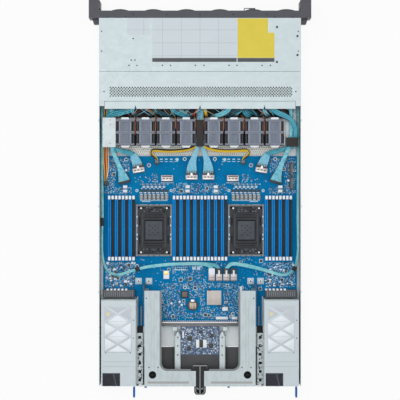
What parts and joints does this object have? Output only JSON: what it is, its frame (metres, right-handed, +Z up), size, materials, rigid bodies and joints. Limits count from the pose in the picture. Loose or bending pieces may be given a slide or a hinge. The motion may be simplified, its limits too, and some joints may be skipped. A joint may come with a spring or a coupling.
{
  "type": "rack server",
  "caption": "Low rack-mount server with its rear cover off: drive trays, a row of fans, a main board with memory sockets, power supplies and a riser bracket.",
  "frame": {"origin": "middle of the case's underside", "axes": "+Y from the front to the rear of the case, +Z up, +X to the right as seen from the front"},
  "size_m": [0.4826, 0.872, 0.0435],
  "materials": {
    "galvanised": "zinc-coated sheet, satin",
    "dark_frame": "matt dark grey paint",
    "tray_metal": "matt dark grey paint over the carrier, bare metal drive",
    "dark_plastic": "fine-grained dark grey",
    "fan_plastic": "satin dark grey",
    "rotor_plastic": "satin black",
    "main_board": "blue solder mask",
    "parts_plastic": "moulded connectors and chips",
    "socket_metal": "plated steel",
    "memory_socket": "blue and black mouldings",
    "latch_white": "white moulding",
    "cable_jacket": "pale blue jackets, with black, yellow and red leads",
    "psu_metal": "zinc-coated sheet",
    "release_blue": "blue touch point",
    "riser_metal": "pale zinc-coated sheet",
    "black_plastic": "satin black"
  },
  "bodies": {
    "chassis": {"chassis_base": "galvanised", "front_cover": "galvanised", "mid_cover": "galvanised", "drive_cage": "dark_frame", "backplane": "main_board", "inner_brackets": "galvanised", "motherboard": "main_board", "board_components": "parts_plastic", "cpu_frames": "socket_metal", "dimm_sockets": "memory_socket", "fan_frames": "fan_plastic", "cable_harness": "cable_jacket", "rack_ears": "dark_plastic", "io_card": "main_board"},
    "drive_tray_1": {"drive_tray_1": "tray_metal"},
    "tray_lever_1": {"tray_lever_1": "dark_plastic"},
    "drive_tray_2": {"drive_tray_2": "tray_metal"},
    "tray_lever_2": {"tray_lever_2": "dark_plastic"},
    "drive_tray_3": {"drive_tray_3": "tray_metal"},
    "tray_lever_3": {"tray_lever_3": "dark_plastic"},
    "drive_tray_4": {"drive_tray_4": "tray_metal"},
    "tray_lever_4": {"tray_lever_4": "dark_plastic"},
    "drive_tray_5": {"drive_tray_5": "tray_metal"},
    "tray_lever_5": {"tray_lever_5": "dark_plastic"},
    "drive_tray_6": {"drive_tray_6": "tray_metal"},
    "tray_lever_6": {"tray_lever_6": "dark_plastic"},
    "drive_tray_7": {"drive_tray_7": "tray_metal"},
    "tray_lever_7": {"tray_lever_7": "dark_plastic"},
    "drive_tray_8": {"drive_tray_8": "tray_metal"},
    "tray_lever_8": {"tray_lever_8": "dark_plastic"},
    "drive_tray_9": {"drive_tray_9": "tray_metal"},
    "tray_lever_9": {"tray_lever_9": "dark_plastic"},
    "drive_tray_10": {"drive_tray_10": "tray_metal"},
    "tray_lever_10": {"tray_lever_10": "dark_plastic"},
    "drive_tray_11": {"drive_tray_11": "tray_metal"},
    "tray_lever_11": {"tray_lever_11": "dark_plastic"},
    "drive_tray_12": {"drive_tray_12": "tray_metal"},
    "tray_lever_12": {"tray_lever_12": "dark_plastic"},
    "fan_rotor_1": {"fan_rotor_1": "rotor_plastic"},
    "fan_rotor_2": {"fan_rotor_2": "rotor_plastic"},
    "fan_rotor_3": {"fan_rotor_3": "rotor_plastic"},
    "fan_rotor_4": {"fan_rotor_4": "rotor_plastic"},
    "fan_rotor_5": {"fan_rotor_5": "rotor_plastic"},
    "fan_rotor_6": {"fan_rotor_6": "rotor_plastic"},
    "fan_rotor_7": {"fan_rotor_7": "rotor_plastic"},
    "fan_rotor_8": {"fan_rotor_8": "rotor_plastic"},
    "psu_left": {"psu_left": "psu_metal"},
    "psu_rotor_left": {"psu_rotor_left": "rotor_plastic"},
    "psu_release_left": {"psu_release_left": "release_blue"},
    "socket_cover_left": {"socket_cover_left": "black_plastic"},
    "psu_right": {"psu_right": "psu_metal"},
    "psu_rotor_right": {"psu_rotor_right": "rotor_plastic"},
    "psu_release_right": {"psu_release_right": "release_blue"},
    "socket_cover_right": {"socket_cover_right": "black_plastic"},
    "dimm_latches_front": {"dimm_latches_front": "latch_white"},
    "dimm_latches_rear": {"dimm_latches_rear": "latch_white"},
    "riser": {"riser_bracket": "riser_metal"},
    "riser_latch": {"riser_latch": "black_plastic"},
    "power_button": {"power_button": "dark_plastic"},
    "info_tag": {"info_tag": "dark_plastic"}
  },
  "joints": [
    {"name": "tray_1_slide", "type": "slide", "parent": "chassis", "child": "drive_tray_1", "axis": [0, -1, 0], "range_m": [0, 0.13]},
    {"name": "lever_1_hinge", "type": "hinge", "parent": "drive_tray_1", "child": "tray_lever_1", "pos_m": [-0.2074, -0.4053, 0.01117], "axis": [0, 0, -1], "range_deg": [0, 75]},
    {"name": "tray_2_slide", "type": "slide", "parent": "chassis", "child": "drive_tray_2", "axis": [0, -1, 0], "range_m": [0, 0.13]},
    {"name": "lever_2_hinge", "type": "hinge", "parent": "drive_tray_2", "child": "tray_lever_2", "pos_m": [-0.1352, -0.4053, 0.01117], "axis": [0, 0, -1], "range_deg": [0, 75]},
    {"name": "tray_3_slide", "type": "slide", "parent": "chassis", "child": "drive_tray_3", "axis": [0, -1, 0], "range_m": [0, 0.13]},
    {"name": "lever_3_hinge", "type": "hinge", "parent": "drive_tray_3", "child": "tray_lever_3", "pos_m": [-0.063, -0.4053, 0.01117], "axis": [0, 0, -1], "range_deg": [0, 75]},
    {"name": "tray_4_slide", "type": "slide", "parent": "chassis", "child": "drive_tray_4", "axis": [0, -1, 0], "range_m": [0, 0.13]},
    {"name": "lever_4_hinge", "type": "hinge", "parent": "drive_tray_4", "child": "tray_lever_4", "pos_m": [0.0092, -0.4053, 0.01117], "axis": [0, 0, -1], "range_deg": [0, 75]},
    {"name": "tray_5_slide", "type": "slide", "parent": "chassis", "child": "drive_tray_5", "axis": [0, -1, 0], "range_m": [0, 0.13]},
    {"name": "lever_5_hinge", "type": "hinge", "parent": "drive_tray_5", "child": "tray_lever_5", "pos_m": [0.0814, -0.4053, 0.01117], "axis": [0, 0, -1], "range_deg": [0, 75]},
    {"name": "tray_6_slide", "type": "slide", "parent": "chassis", "child": "drive_tray_6", "axis": [0, -1, 0], "range_m": [0, 0.13]},
    {"name": "lever_6_hinge", "type": "hinge", "parent": "drive_tray_6", "child": "tray_lever_6", "pos_m": [0.1536, -0.4053, 0.01117], "axis": [0, 0, -1], "range_deg": [0, 75]},
    {"name": "tray_7_slide", "type": "slide", "parent": "chassis", "child": "drive_tray_7", "axis": [0, -1, 0], "range_m": [0, 0.13]},
    {"name": "lever_7_hinge", "type": "hinge", "parent": "drive_tray_7", "child": "tray_lever_7", "pos_m": [-0.2074, -0.4053, 0.03232], "axis": [0, 0, -1], "range_deg": [0, 75]},
    {"name": "tray_8_slide", "type": "slide", "parent": "chassis", "child": "drive_tray_8", "axis": [0, -1, 0], "range_m": [0, 0.13]},
    {"name": "lever_8_hinge", "type": "hinge", "parent": "drive_tray_8", "child": "tray_lever_8", "pos_m": [-0.1352, -0.4053, 0.03232], "axis": [0, 0, -1], "range_deg": [0, 75]},
    {"name": "tray_9_slide", "type": "slide", "parent": "chassis", "child": "drive_tray_9", "axis": [0, -1, 0], "range_m": [0, 0.13]},
    {"name": "lever_9_hinge", "type": "hinge", "parent": "drive_tray_9", "child": "tray_lever_9", "pos_m": [-0.063, -0.4053, 0.03232], "axis": [0, 0, -1], "range_deg": [0, 75]},
    {"name": "tray_10_slide", "type": "slide", "parent": "chassis", "child": "drive_tray_10", "axis": [0, -1, 0], "range_m": [0, 0.13]},
    {"name": "lever_10_hinge", "type": "hinge", "parent": "drive_tray_10", "child": "tray_lever_10", "pos_m": [0.0092, -0.4053, 0.03232], "axis": [0, 0, -1], "range_deg": [0, 75]},
    {"name": "tray_11_slide", "type": "slide", "parent": "chassis", "child": "drive_tray_11", "axis": [0, -1, 0], "range_m": [0, 0.13]},
    {"name": "lever_11_hinge", "type": "hinge", "parent": "drive_tray_11", "child": "tray_lever_11", "pos_m": [0.0814, -0.4053, 0.03232], "axis": [0, 0, -1], "range_deg": [0, 75]},
    {"name": "tray_12_slide", "type": "slide", "parent": "chassis", "child": "drive_tray_12", "axis": [0, -1, 0], "range_m": [0, 0.13]},
    {"name": "lever_12_hinge", "type": "hinge", "parent": "drive_tray_12", "child": "tray_lever_12", "pos_m": [0.1536, -0.4053, 0.03232], "axis": [0, 0, -1], "range_deg": [0, 75]},
    {"name": "fan_1_spin", "type": "hinge", "parent": "chassis", "child": "fan_rotor_1", "pos_m": [-0.1625, -0.1435, 0.022], "axis": [0, 1, 0], "continuous": true},
    {"name": "fan_2_spin", "type": "hinge", "parent": "chassis", "child": "fan_rotor_2", "pos_m": [-0.1183, -0.1435, 0.022], "axis": [0, 1, 0], "continuous": true},
    {"name": "fan_3_spin", "type": "hinge", "parent": "chassis", "child": "fan_rotor_3", "pos_m": [-0.0741, -0.1435, 0.022], "axis": [0, 1, 0], "continuous": true},
    {"name": "fan_4_spin", "type": "hinge", "parent": "chassis", "child": "fan_rotor_4", "pos_m": [-0.0299, -0.1435, 0.022], "axis": [0, 1, 0], "continuous": true},
    {"name": "fan_5_spin", "type": "hinge", "parent": "chassis", "child": "fan_rotor_5", "pos_m": [0.0299, -0.1435, 0.022], "axis": [0, 1, 0], "continuous": true},
    {"name": "fan_6_spin", "type": "hinge", "parent": "chassis", "child": "fan_rotor_6", "pos_m": [0.0741, -0.1435, 0.022], "axis": [0, 1, 0], "continuous": true},
    {"name": "fan_7_spin", "type": "hinge", "parent": "chassis", "child": "fan_rotor_7", "pos_m": [0.1183, -0.1435, 0.022], "axis": [0, 1, 0], "continuous": true},
    {"name": "fan_8_spin", "type": "hinge", "parent": "chassis", "child": "fan_rotor_8", "pos_m": [0.1625, -0.1435, 0.022], "axis": [0, 1, 0], "continuous": true},
    {"name": "psu_left_slide", "type": "slide", "parent": "chassis", "child": "psu_left", "axis": [0, 1, 0], "range_m": [0, 0.2]},
    {"name": "psu_left_spin", "type": "hinge", "parent": "psu_left", "child": "psu_rotor_left", "pos_m": [-0.1615, 0.39325, 0.0213], "axis": [0, 1, 0], "continuous": true},
    {"name": "psu_left_release", "type": "hinge", "parent": "psu_left", "child": "psu_release_left", "pos_m": [-0.2101, 0.4035, 0.0213], "axis": [0, 0, -1], "range_deg": [0, 12], "stiffness_Nm_per_rad": 0.5},
    {"name": "cover_left_lift", "type": "slide", "parent": "chassis", "child": "socket_cover_left", "axis": [0, 0, 1], "range_m": [0, 0.05]},
    {"name": "psu_right_slide", "type": "slide", "parent": "chassis", "child": "psu_right", "axis": [0, 1, 0], "range_m": [0, 0.2]},
    {"name": "psu_right_spin", "type": "hinge", "parent": "psu_right", "child": "psu_rotor_right", "pos_m": [0.1925, 0.39325, 0.0213], "axis": [0, 1, 0], "continuous": true},
    {"name": "psu_right_release", "type": "hinge", "parent": "psu_right", "child": "psu_release_right", "pos_m": [0.1439, 0.4035, 0.0213], "axis": [0, 0, -1], "range_deg": [0, 12], "stiffness_Nm_per_rad": 0.5},
    {"name": "cover_right_lift", "type": "slide", "parent": "chassis", "child": "socket_cover_right", "axis": [0, 0, 1], "range_m": [0, 0.05]},
    {"name": "front_latches_swing", "type": "hinge", "parent": "chassis", "child": "dimm_latches_front", "pos_m": [0, -0.0006, 0.0132], "axis": [1, 0, 0], "range_deg": [0, 30]},
    {"name": "rear_latches_swing", "type": "hinge", "parent": "chassis", "child": "dimm_latches_rear", "pos_m": [0, 0.1296, 0.0132], "axis": [-1, 0, 0], "range_deg": [0, 30]},
    {"name": "riser_lift", "type": "slide", "parent": "chassis", "child": "riser", "axis": [0, 0, 1], "range_m": [0, 0.06]},
    {"name": "riser_latch_slide", "type": "slide", "parent": "riser", "child": "riser_latch", "axis": [0, 1, 0], "range_m": [0, 0.003], "stiffness_N_per_m": 600},
    {"name": "power_button_push", "type": "slide", "parent": "chassis", "child": "power_button", "axis": [0, 1, 0], "range_m": [0, 0.0015], "stiffness_N_per_m": 500},
    {"name": "info_tag_slide", "type": "slide", "parent": "chassis", "child": "info_tag", "axis": [0, -1, 0], "range_m": [0, 0.045]}
  ]
}
